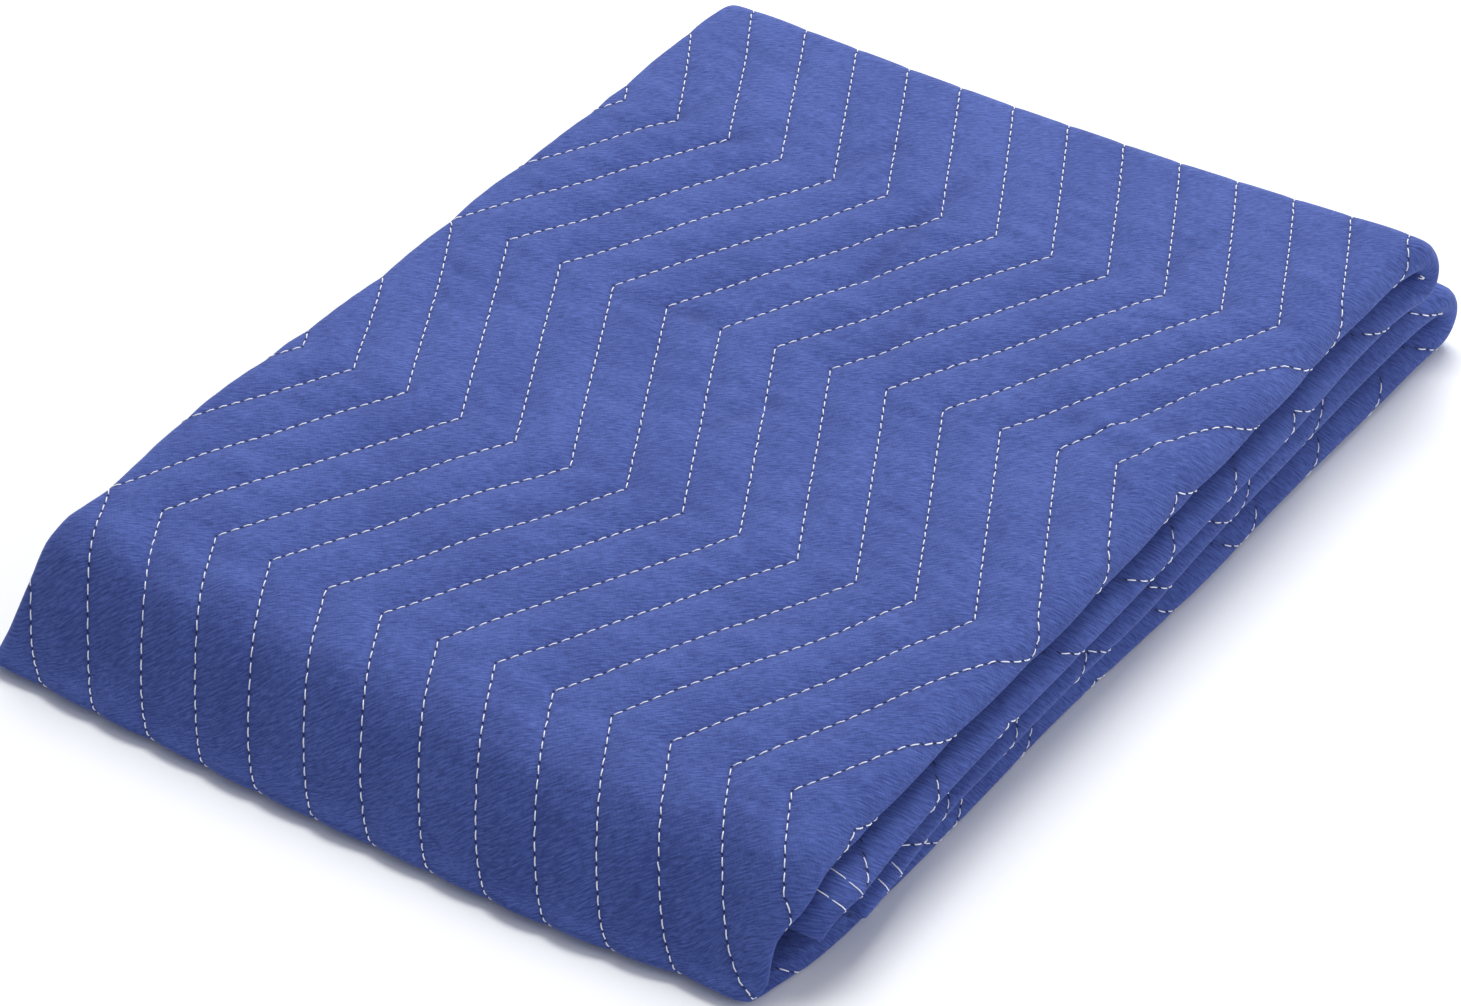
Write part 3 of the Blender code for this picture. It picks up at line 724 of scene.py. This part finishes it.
def make_grid():
    """U, V and offset of every point: one closed loop round the section at each station."""
    v = stations()
    seams = seam_columns(v)

    def same_at_all(*columns):
        """The same columns at every station."""
        return np.tile(np.concatenate(columns), (len(v), 1))

    flap_b = U_START["flap B"] + FLAP_B_COLUMNS
    before = same_at_all([0.0], flat_columns("flap A", OUTER_COLUMNS),
                         fold_columns("left fold", OUTER_COLUMNS))
    after = same_at_all(fold_columns("right fold", OUTER_COLUMNS), flap_b, [CLOTH_WIDTH])
    outer = np.hstack([before, seams, after])
    inner = same_at_all([0.0], flat_columns("flap A", INNER_COLUMNS),
                        fold_columns("left fold", INNER_COLUMNS),
                        flat_columns("centre", INNER_COLUMNS),
                        fold_columns("right fold", INNER_COLUMNS), flap_b, [CLOTH_WIDTH])[:, ::-1]
    rim_a, rim_b = same_at_all([-RIM]), same_at_all([CLOTH_WIDTH + RIM])
    along = v[:, None]
    from_end = np.minimum(along, CLOTH_LENGTH - along)
    thin = np.where(from_end < END_ROUNDING / 2, END_THINNING, 1.0)
    before_flap_b = (outer < U_START["flap B"] - FLAP_MARGIN) | (hem_free(along) == 0)
    sewn = (outer > U_START["left fold"] + FLAP_MARGIN) & before_flap_b
    full = outer_height(outer, np.broadcast_to(along, outer.shape))
    outer_offset = np.where(sewn, full, PLY / 2) * thin
    inner_offset = -PLY / 2 * thin * np.ones_like(inner)
    none = np.zeros_like(along)
    u = np.hstack([outer, rim_b, inner, rim_a])
    offset = np.hstack([outer_offset, none, inner_offset, none])
    return u, np.broadcast_to(along, u.shape), offset


grid_u, grid_v, grid_offset = make_grid()
print("grid", grid_u.shape, "points")

# %% The mesh, its UV maps and its two attributes


def loop_faces(rows, columns):
    """Quads of a tube of rows rings with columns points each, facing outwards."""
    row, column = pairs(np.arange(rows - 1), np.arange(columns))
    here = row * columns + column
    beside = row * columns + (column + 1) % columns
    return np.stack([here, here + columns, beside + columns, beside], axis=-1)


def cap_faces(outer_count, columns, first, flip):
    """Quads across an end: each outer point joins the inner point at the same share of the way."""
    ring = np.arange(columns)
    left, right = ring[:outer_count], ring[outer_count:][::-1]
    matched = np.round(np.linspace(0, len(right) - 1, len(left))).astype(int)
    faces = []
    for index in range(len(left) - 1):
        a, b = left[index], left[index + 1]
        c, d = right[matched[index + 1]], right[matched[index]]
        corners = [a, b, c] if c == d else [a, b, c, d]
        faces.append([first + corner for corner in (corners[::-1] if flip else corners)])
    return faces


def make_mesh(name, points, faces):
    """A smooth mesh from arrays of points and faces; the faces already point outwards."""
    mesh = bpy.data.meshes.new(name)
    mesh.from_pydata(points.reshape(-1, 3).tolist(), [], faces)
    mesh.validate()
    mesh.shade_smooth()
    mesh.update()
    return mesh


def add_uv(mesh, name, per_point):
    """A UV map that takes each face corner's value from its point."""
    layer = mesh.uv_layers.new(name=name)
    corner_points = np.empty(len(mesh.loops), dtype=np.int32)
    mesh.loops.foreach_get("vertex_index", corner_points)
    layer.data.foreach_set("uv", per_point[corner_points].astype(np.float32).ravel())


def make_blanket():
    """The folded cloth as one closed mesh."""
    points = cloth_point(grid_u, grid_v, grid_offset)
    rows, columns = grid_u.shape
    faces = loop_faces(rows, columns).tolist()
    outer_count = int(np.argmax(grid_u[0])) + 1
    faces += cap_faces(outer_count, columns, 0, False)
    faces += cap_faces(outer_count, columns, (rows - 1) * columns, True)
    mesh = make_mesh("blanket_cloth", points, faces)
    add_uv(mesh, "cloth", np.stack([grid_u, grid_v], axis=-1).reshape(-1, 2))
    across, along = seam_place(grid_u, grid_v)
    add_uv(mesh, "seams", np.stack([across, along], axis=-1).reshape(-1, 2))
    outside = hem_free(grid_v) * (grid_offset > 0)
    # The crease heights kept here set painted shade in the troughs and painted light on the ridges
    # of the cover's colour.
    for name, values in (("sewn", outside), ("crease", outside * creases(grid_u, grid_v) / MM)):
        attribute = mesh.attributes.new(name, "FLOAT", "POINT")
        attribute.data.foreach_set("value", values.astype(np.float32).ravel())
    return add_object("blanket_cloth", mesh)


blanket = make_blanket()
print("cloth", len(blanket.data.polygons), "faces, size",
      [round(side, 4) for side in blanket.dimensions])

# %% [markdown]
# ## The stitches
# A lockstitch shows on the face as a row of short white dashes. Each dash is a piece of
# thread that comes up through one needle hole, lies in the groove and goes down through
# the next. Here every dash is a small bent tube of 22 faces, and all of them are made
# at once as arrays and joined in one mesh. Each stitch is turned and lifted a little,
# as it is on thick padding.

# %% Threads along the zigzag lines
THREAD = 0.48 * MM  # thickness of the sewing thread
THREAD_SIDES = 5
# Along one stitch: place from its middle as a share of its length, height over the
# groove in mm, and thickness as a share of the thread's
STITCH_PROFILE = np.array([(-0.5, -0.75, 0.7), (-0.39, 0.10, 1.0), (0.0, 0.34, 1.08),
                           (0.39, 0.10, 1.0), (0.5, -0.75, 0.7)])
ABOVE_FLOOR = 0.02 * MM  # the least height of any thread
STITCH_TURN = 0.16 * MM  # usual sideways turn of a stitch's ends
STITCH_LIFT = 0.05  # usual lift of a stitch, in mm
ZIGZAG_SEED = 3
ZIGZAG_SHARE = 0.72  # how much of the pitch a zigzag stitch fills
LINES = np.arange(-1, 17)  # numbers of the lines that cross the outer face
ROW_CLEARANCE = 2.0 * MM  # between the hem and the first zigzag stitch
FLAP_CLEARANCE = 2.0 * MM  # between the last zigzag stitch and flap B
SEEN_BESIDE_FOLD = 14.0 * MM  # inside the stack, stitches farther from a side fold are left out


def unit(vectors):
    """The same directions with a length of 1."""
    return vectors / np.linalg.norm(vectors, axis=-1, keepdims=True)


def thread_tubes(u0, v0, u1, v1, lift, share):
    """Bent tubes on the outer face that fill the given share of the way to (u1, v1).

    Each ring is a circle of the thread's radius in the plane of the face's normal and
    the direction across the stitch.
    """
    place = 0.5 + share * STITCH_PROFILE[:, 0][None, :]
    u = u0[:, None] + (u1 - u0)[:, None] * place
    v = v0[:, None] + (v1 - v0)[:, None] * place
    height = outer_height(u, v) + STITCH_PROFILE[:, 1] * MM + lift[:, None] * MM
    middle = cloth_point(u, v, height)
    normal = unit(cloth_point(u, v, height + MM) - middle)
    along = np.gradient(middle, axis=1)
    side = unit(np.cross(along, normal))
    up = unit(np.cross(side, along))
    angle = (2 * np.pi * np.arange(THREAD_SIDES) / THREAD_SIDES)[:, None]
    radius = THREAD / 2 * STITCH_PROFILE[:, 2][None, :, None, None]
    ring = np.cos(angle) * side[:, :, None, :] + np.sin(angle) * up[:, :, None, :]
    points = middle[:, :, None, :] + radius * ring
    points[..., 2] = np.maximum(points[..., 2], ABOVE_FLOOR)
    return points


def tube_faces(count, rings, sides):
    """Quads of count separate tubes and a cap on both ends of each."""
    ring, side = pairs(np.arange(rings - 1), np.arange(sides))
    here = ring * sides + side
    beside = ring * sides + (side + 1) % sides
    quads = np.stack([here, beside, beside + sides, here + sides], axis=-1)
    starts = np.arange(count) * rings * sides
    walls = (starts[:, None, None] + quads).reshape(-1, 4)
    first = starts[:, None] + np.arange(sides)[::-1]
    last = starts[:, None] + (rings - 1) * sides + np.arange(sides)
    return walls.tolist() + first.tolist() + last.tolist()


def zigzag_stitches():
    """Ends of every stitch on the outer face that can be seen, as four arrays."""
    margin = END_HEM + ROW_CLEARANCE
    first, last = seam_place(0.0, margin)[1], seam_place(0.0, CLOTH_LENGTH - margin)[1]
    holes = np.arange(math.ceil(first), math.floor(last))
    line, hole = pairs(LINES, holes)
    ends = []
    for step in (0, 1):
        even_v = place_of_row((hole + step) / STITCHES_PER_ROW)
        v = even_v
        for turn in range(LINE_TURNS):
            v = even_v - ROW_PULL * edge_pull(line_u(line, v), v)
        ends += [line_u(line, v), v]
    u0, v0, u1, v1 = ends
    middle_u, middle_v = (u0 + u1) / 2, (v0 + v1) / 2
    on_face = middle_u > U_START["left fold"] + FLAP_MARGIN
    on_face &= middle_u < U_START["flap B"] - FLAP_CLEARANCE
    in_stack = (middle_v < V_START["upper far bend"]) | (middle_v > V_START["lower end"])
    keep = on_face & ~(in_stack & (from_side_fold(middle_u) > SEEN_BESIDE_FOLD))
    return u0[keep], v0[keep], u1[keep], v1[keep]


def make_threads(name, ends, seed, share):
    """All the stitches of one set as one mesh, each a little turned and lifted."""
    u0, v0, u1, v1 = ends
    seeds = np.random.default_rng(seed)
    turn = seeds.normal(0.0, STITCH_TURN, len(u0))
    lift = seeds.normal(0.0, STITCH_LIFT, len(u0))
    length = np.hypot(u1 - u0, v1 - v0)
    turn_u, turn_v = turn * (v1 - v0) / length, turn * (u1 - u0) / length
    points = thread_tubes(u0 - turn_u, v0 + turn_v, u1 + turn_u, v1 - turn_v, lift, share)
    mesh = make_mesh(name, points, tube_faces(len(u0), len(STITCH_PROFILE), THREAD_SIDES))
    return add_object(name, mesh)


zigzag_thread = make_threads("zigzag_stitches", zigzag_stitches(), ZIGZAG_SEED, ZIGZAG_SHARE)
print("zigzag", len(zigzag_thread.data.polygons), "faces")

# %% [markdown]
# ## The hems
# At both ends of the blanket the cloth is turned over and sewn down with two straight
# rows of stitches. They show where the ends of the strip lie in the front bend, round
# the right side fold. They are the same small threads, laid across instead of along.

# %% Threads along the two hem rows at each end
HEM_ROWS = (15.5 * MM, 25.0 * MM)  # distances from the cut end
HEM_PITCH = 4.9 * MM
HEM_REACH = 20.0 * MM  # how far the rows go on beside the side folds
HEM_SEED = 4
HEM_SHARE = 0.95  # how much of the pitch a hem stitch fills


def hem_stitches():
    """Ends of the hem stitches on the side folds and on the plies just beside them."""
    places = np.arange(U_START["left fold"] - HEM_REACH, U_START["flap B"] + HEM_REACH, HEM_PITCH)
    places = places[from_side_fold(places) < HEM_REACH]
    rows = np.array(HEM_ROWS + tuple(CLOTH_LENGTH - row for row in HEM_ROWS))
    u0, v0 = pairs(places, rows)
    return u0, v0, u0 + HEM_PITCH, v0


hem_thread = make_threads("hem_stitches", hem_stitches(), HEM_SEED, HEM_SHARE)
print("hem rows", len(hem_thread.data.polygons), "faces")

# %% [markdown]
# ## The cover's finish
# The cover is spun-bonded polyester: fine fibres melted together between rollers. That
# gives a matt, slightly hairy face with short streaks of lighter fibre across the
# cloth, a faint grid of pressed dots, and a pale sheen at grazing angles. Everything is
# drawn on the cloth's own UV map in metres, so the pattern bends through the folds with
# it. Round each needle hole the cover is pinched into a small dimple, bumped down and
# darkened with painted shade, and the grooves along the lines get painted shade too.

# %% Helpers for materials


def linear(hex_colour):
    """An sRGB hex colour as linear red, green, blue and 1."""
    parts = [int(hex_colour[i:i + 2], 16) / 255 for i in (1, 3, 5)]
    light = [p / 12.92 if p <= 0.04045 else ((p + 0.055) / 1.055) ** 2.4 for p in parts]
    return tuple(light) + (1.0,)


def add_node(tree, kind, settings=None, inputs=None):
    """A node with its settings; each input is a plain value or another node's output."""
    node = tree.nodes.new(kind)
    for key, value in (settings or {}).items():
        setattr(node, key, value)
    for key, value in (inputs or {}).items():
        if isinstance(value, bpy.types.NodeSocket):
            tree.links.new(value, node.inputs[key])
        else:
            node.inputs[key].default_value = value
    return node


def maths(tree, operation, *values):
    """One step of arithmetic on plain numbers and outputs."""
    inputs = dict(enumerate(values))
    return add_node(tree, "ShaderNodeMath", {"operation": operation}, inputs).outputs[0]


def mix(tree, share, first, second):
    """The first colour at a share of 0, the second one at 1."""
    inputs = {0: share, 6: first, 7: second}
    return add_node(tree, "ShaderNodeMix", {"data_type": "RGBA"}, inputs).outputs[2]


def parts_of(tree, uv_map):
    """The two coordinates of one of the cloth's UV maps."""
    place = add_node(tree, "ShaderNodeUVMap", {"uv_map": uv_map}).outputs["UV"]
    return add_node(tree, "ShaderNodeSeparateXYZ", {}, {0: place}).outputs[:2]


def new_material(name, settings):
    """A material with one Principled shader, and that shader."""
    material = bpy.data.materials.new(name)
    material.use_nodes = True
    shader = material.node_tree.nodes["Principled BSDF"]
    for key, value in settings.items():
        shader.inputs[key].default_value = value
    return material, shader


print("middle grey in linear light", round(linear("#808080")[0], 3))

# %% Sizes and colours of the blue non-woven cover
BLUE = "#31448A"
BLUE_PALE = "#4E63AB"
BLUE_DEEP = "#1D2962"
BLUE_SHEEN = "#B9C4EC"
# Painted shade in the pinched dimple round each needle hole.
HOLE_SHADE_BLUE = "#121A46"
STREAK_TURN = math.radians(-35)  # the streaks run slantwise to the cloth's width
# Length and width of each pattern's patches: streaks of paler fibre, slow change of
# shade, and fine fuzz
STREAKS = (5.0 * MM, 0.7 * MM)
MOTTLE = (45.0 * MM, 45.0 * MM)
FLUFF = (2.2 * MM, 0.9 * MM)
# Share of the pale blue = STREAK_CONTRAST * streaks + mottle - PALE_LEVEL
STREAK_CONTRAST = 3.2
PALE_LEVEL = 1.6
# Share of the deep blue = FLUFF_CONTRAST * (fluff - FLUFF_LEVEL)
FLUFF_CONTRAST = 1.9
FLUFF_LEVEL = 0.45
# Painted shade in crease troughs and painted light on crease ridges, for each mm of crease.
CREASE_PAINTED_SHADE_AND_LIGHT = 0.20  # how much deeper or paler the blue is for each mm of crease
# Painted shade along each sewn groove: a deeper blue within this distance of its line.
GROOVE = 2.4 * MM  # how far from a line its groove is deeper blue
GROOVE_SHADE = 0.28
# Painted shade round each needle hole, full inside the core.
HOLE_RADIUS = 0.75 * MM
HOLE_CORE = 0.2 * MM
DOT_PITCH = 1.8 * MM  # pressed dots, coarser than the real ones of about 1 mm
RELIEF = 0.35 * MM  # height of the bump for a pattern value of 1
BUMP_STRENGTH = 0.55
# How high the dots, the streaks, the fluff and the needle holes stand in that relief
DOT_RELIEF, STREAK_RELIEF, FLUFF_RELIEF, HOLE_RELIEF = 0.16, 0.6, 0.5, -1.6


def cloth_patterns(tree):
    """Streaks, mottle and fluff: noise stretched to each pattern's length and width."""
    place = add_node(tree, "ShaderNodeUVMap", {"uv_map": "cloth"}).outputs["UV"]
    patterns = []
    for long, wide in (STREAKS, MOTTLE, FLUFF):
        stretched = add_node(tree, "ShaderNodeMapping", {"vector_type": "TEXTURE"}, {
            "Vector": place, "Rotation": (0.0, 0.0, STREAK_TURN), "Scale": (long, wide, 1.0)})
        noise = add_node(tree, "ShaderNodeTexNoise", {}, {
            "Vector": stretched.outputs[0], "Scale": 1.0, "Detail": 2.0, "Roughness": 0.6})
        patterns.append(noise.outputs["Fac"])
    return patterns


def seam_shares(tree):
    """Shares of painted shade at each needle hole and along each groove, from the distances
    to hole and line. The hole share also sinks the dimple in the bump.

    Line numbers and hole numbers are whole at lines and holes, so a pingpong at 0.5
    gives the distance to the nearest one in spacings.
    """
    across, along = parts_of(tree, "seams")
    sewn = add_node(tree, "ShaderNodeAttribute", {"attribute_name": "sewn"}).outputs["Fac"]
    off_line = maths(tree, "MULTIPLY", maths(tree, "PINGPONG", across, 0.5), LINE_SPACING)
    off_hole = maths(tree, "MULTIPLY", maths(tree, "PINGPONG", along, 0.5), STITCH_PITCH)
    squares = maths(tree, "MULTIPLY_ADD", off_line, off_line,
                    maths(tree, "MULTIPLY", off_hole, off_hole))
    from_hole = maths(tree, "SQRT", squares)
    shares = []
    for distance, reach, core, most in ((from_hole, HOLE_RADIUS, HOLE_CORE, 1.0),
                                        (off_line, GROOVE, 0.0, GROOVE_SHADE)):
        near = add_node(tree, "ShaderNodeMapRange", {"interpolation_type": "SMOOTHSTEP"},
                        {0: distance, 1: reach, 2: core, 3: 0.0, 4: most})
        shares.append(maths(tree, "MULTIPLY", near.outputs[0], sewn))
    return shares


print("streaks", STREAKS[0] / MM, "by", STREAKS[1] / MM, "mm")

# %% The blue non-woven cover


def make_cover():
    """Spun-bonded polyester, matt and slightly fluffy: rough 0.92, IOR 1.5, a pale sheen."""
    material, shader = new_material("non_woven_polyester_blue", {
        "Roughness": 0.92, "IOR": 1.5, "Metallic": 0.0, "Sheen Weight": 0.18,
        "Sheen Roughness": 0.5, "Sheen Tint": linear(BLUE_SHEEN)})
    tree = material.node_tree
    streaks, mottle, fluff = cloth_patterns(tree)
    hole, groove = seam_shares(tree)
    crease = add_node(tree, "ShaderNodeAttribute", {"attribute_name": "crease"}).outputs["Fac"]
    level = maths(tree, "SUBTRACT", mottle, PALE_LEVEL)
    pale = maths(tree, "MULTIPLY_ADD", streaks, STREAK_CONTRAST, level)
    deep = maths(tree, "MULTIPLY", maths(tree, "SUBTRACT", fluff, FLUFF_LEVEL), FLUFF_CONTRAST)
    # Painted shade: crease troughs mix towards the deep blue. Painted light: crease ridges mix
    # towards the pale blue.
    trough = maths(tree, "MULTIPLY", crease, -CREASE_PAINTED_SHADE_AND_LIGHT)
    ridge = maths(tree, "MULTIPLY", crease, CREASE_PAINTED_SHADE_AND_LIGHT)
    colour = linear(BLUE)
    # The groove and hole shares are painted shade in the sewn grooves and the needle-hole dimples.
    for share, other in ((pale, BLUE_PALE), (deep, BLUE_DEEP), (trough, BLUE_DEEP),
                         (ridge, BLUE_PALE), (groove, BLUE_DEEP), (hole, HOLE_SHADE_BLUE)):
        colour = mix(tree, share, colour, linear(other))
    tree.links.new(colour, shader.inputs["Base Color"])

    turns = 2 * math.pi / DOT_PITCH
    waves = [maths(tree, "SINE", maths(tree, "MULTIPLY", part, turns))
             for part in parts_of(tree, "cloth")]
    height = maths(tree, "MULTIPLY", maths(tree, "MULTIPLY", *waves), DOT_RELIEF)
    for part, relief in ((streaks, STREAK_RELIEF), (fluff, FLUFF_RELIEF), (hole, HOLE_RELIEF)):
        height = maths(tree, "MULTIPLY_ADD", part, relief, height)
    bump = add_node(tree, "ShaderNodeBump", {}, {
        "Height": height, "Strength": BUMP_STRENGTH, "Distance": RELIEF})
    tree.links.new(bump.outputs[0], shader.inputs["Normal"])
    return material


cover = make_cover()
blanket.data.materials.append(cover)
print("cover", len(cover.node_tree.nodes), "nodes")

# %% [markdown]
# ## The thread's finish
# The thread is white bright polyester, two plies twisted together. It is smoother than
# the cover and catches the light. The twist is far too fine to see, so only a faint
# change of shade along the threads is drawn, coarser than the real one.

# %% The white polyester thread
# Painted light: the faint blue of this end stands for blue light bounced from the cover; the noise
# between it and white is the thread's own change of shade.
THREAD_TONE_AND_BLUE_BOUNCE = "#ECEEFC"
THREAD_WHITE = "#FFFFFF"
SHADES_PER_METRE = 700.0  # patches of 1.4 mm, several turns of the real twist


def make_thread_material():
    """Twisted polyester thread: white with a faint painted blue of light bounced from the cover,
    half gloss, IOR 1.55.
    """
    material, shader = new_material("polyester_thread_white", {
        "Roughness": 0.5, "IOR": 1.55, "Metallic": 0.0, "Sheen Weight": 0.1})
    tree = material.node_tree
    place = add_node(tree, "ShaderNodeTexCoord").outputs["Object"]
    shade = add_node(tree, "ShaderNodeTexNoise", {}, {
        "Vector": place, "Scale": SHADES_PER_METRE, "Detail": 1.0}).outputs["Fac"]
    colour = mix(tree, shade, linear(THREAD_TONE_AND_BLUE_BOUNCE), linear(THREAD_WHITE))
    tree.links.new(colour, shader.inputs["Base Color"])
    return material


thread_material = make_thread_material()
for thread in (zigzag_thread, hem_thread):
    thread.data.materials.append(thread_material)
print("thread material on", zigzag_thread.name, "and", hem_thread.name)

# %% [markdown]
# ## Floor and light
# The stack lies on a plain white floor. A large soft light stands high behind it, so
# the top and the far-facing sides of the quilting are bright and the front bend falls
# into shade. A weak light from the right picks out the side folds, and an even, slightly
# cool sky fills the rest.

# %% The floor, the sky and two soft lights
# Place of each light, its size in metres and its power in watts
LIGHTS = {
    "soft_light": ((-0.88, 2.0, 2.72), 2.4, 136.0),
    "weak_side_light": ((2.3, 0.2, 0.9), 1.6, 17.0),
}
SKY_COLOUR = (0.92, 0.97, 1.12, 1.0)
SKY_STRENGTH = 0.37
FLOOR_WHITE = "#FBFBFB"
FLOOR_REACH = 12.0  # metres from the middle to each side
FLOOR_DROP = 0.2 * MM  # keeps the floor's face clear of the cloth's underside


def make_floor():
    """A wide plain floor, matt white."""
    mesh = bpy.data.meshes.new("floor")
    corners = FLOOR_REACH * np.array([(-1, -1, 0), (1, -1, 0), (1, 1, 0), (-1, 1, 0)])
    mesh.from_pydata(corners.tolist(), [], [(0, 1, 2, 3)])
    floor = add_object("floor", mesh)
    floor.location.z = -FLOOR_DROP
    material, shader = new_material("matt_white_paper", {
        "Base Color": linear(FLOOR_WHITE), "Roughness": 0.95, "Specular IOR Level": 0.1})
    mesh.materials.append(material)
    return floor


def make_light(name, place, size, power):
    """A square area light that looks at the middle of the stack."""
    data = bpy.data.lights.new(name, "AREA")
    data.shape = "SQUARE"
    data.size = size
    data.energy = power
    light = add_object(name, data)
    light.location = place
    light.rotation_euler = (-Vector(place)).to_track_quat("-Z", "Y").to_euler()


floor = make_floor()
for name, (place, size, power) in LIGHTS.items():
    make_light(name, place, size, power)
world = bpy.data.worlds.new("sky")
bpy.context.scene.world = world
world.use_nodes = True
background = world.node_tree.nodes["Background"]
background.inputs["Color"].default_value = SKY_COLOUR
background.inputs["Strength"].default_value = SKY_STRENGTH
bpy.context.scene.view_settings.view_transform = "Standard"
print(len(LIGHTS), "lights, sky", SKY_STRENGTH)

# %% [markdown]
# ## The pieces in the shared frame
# A folded blanket is one piece of cloth with its own sewing, so the cloth stands in for
# the whole solid and both sets of stitches ride with it.

# %% What each piece is in the frame
for piece in (blanket, zigzag_thread, hem_thread):
    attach(piece, "root")
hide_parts("blanket")
print("sheet", round(CLOTH_WIDTH, 3), "by", round(CLOTH_LENGTH, 3), "m, folded")
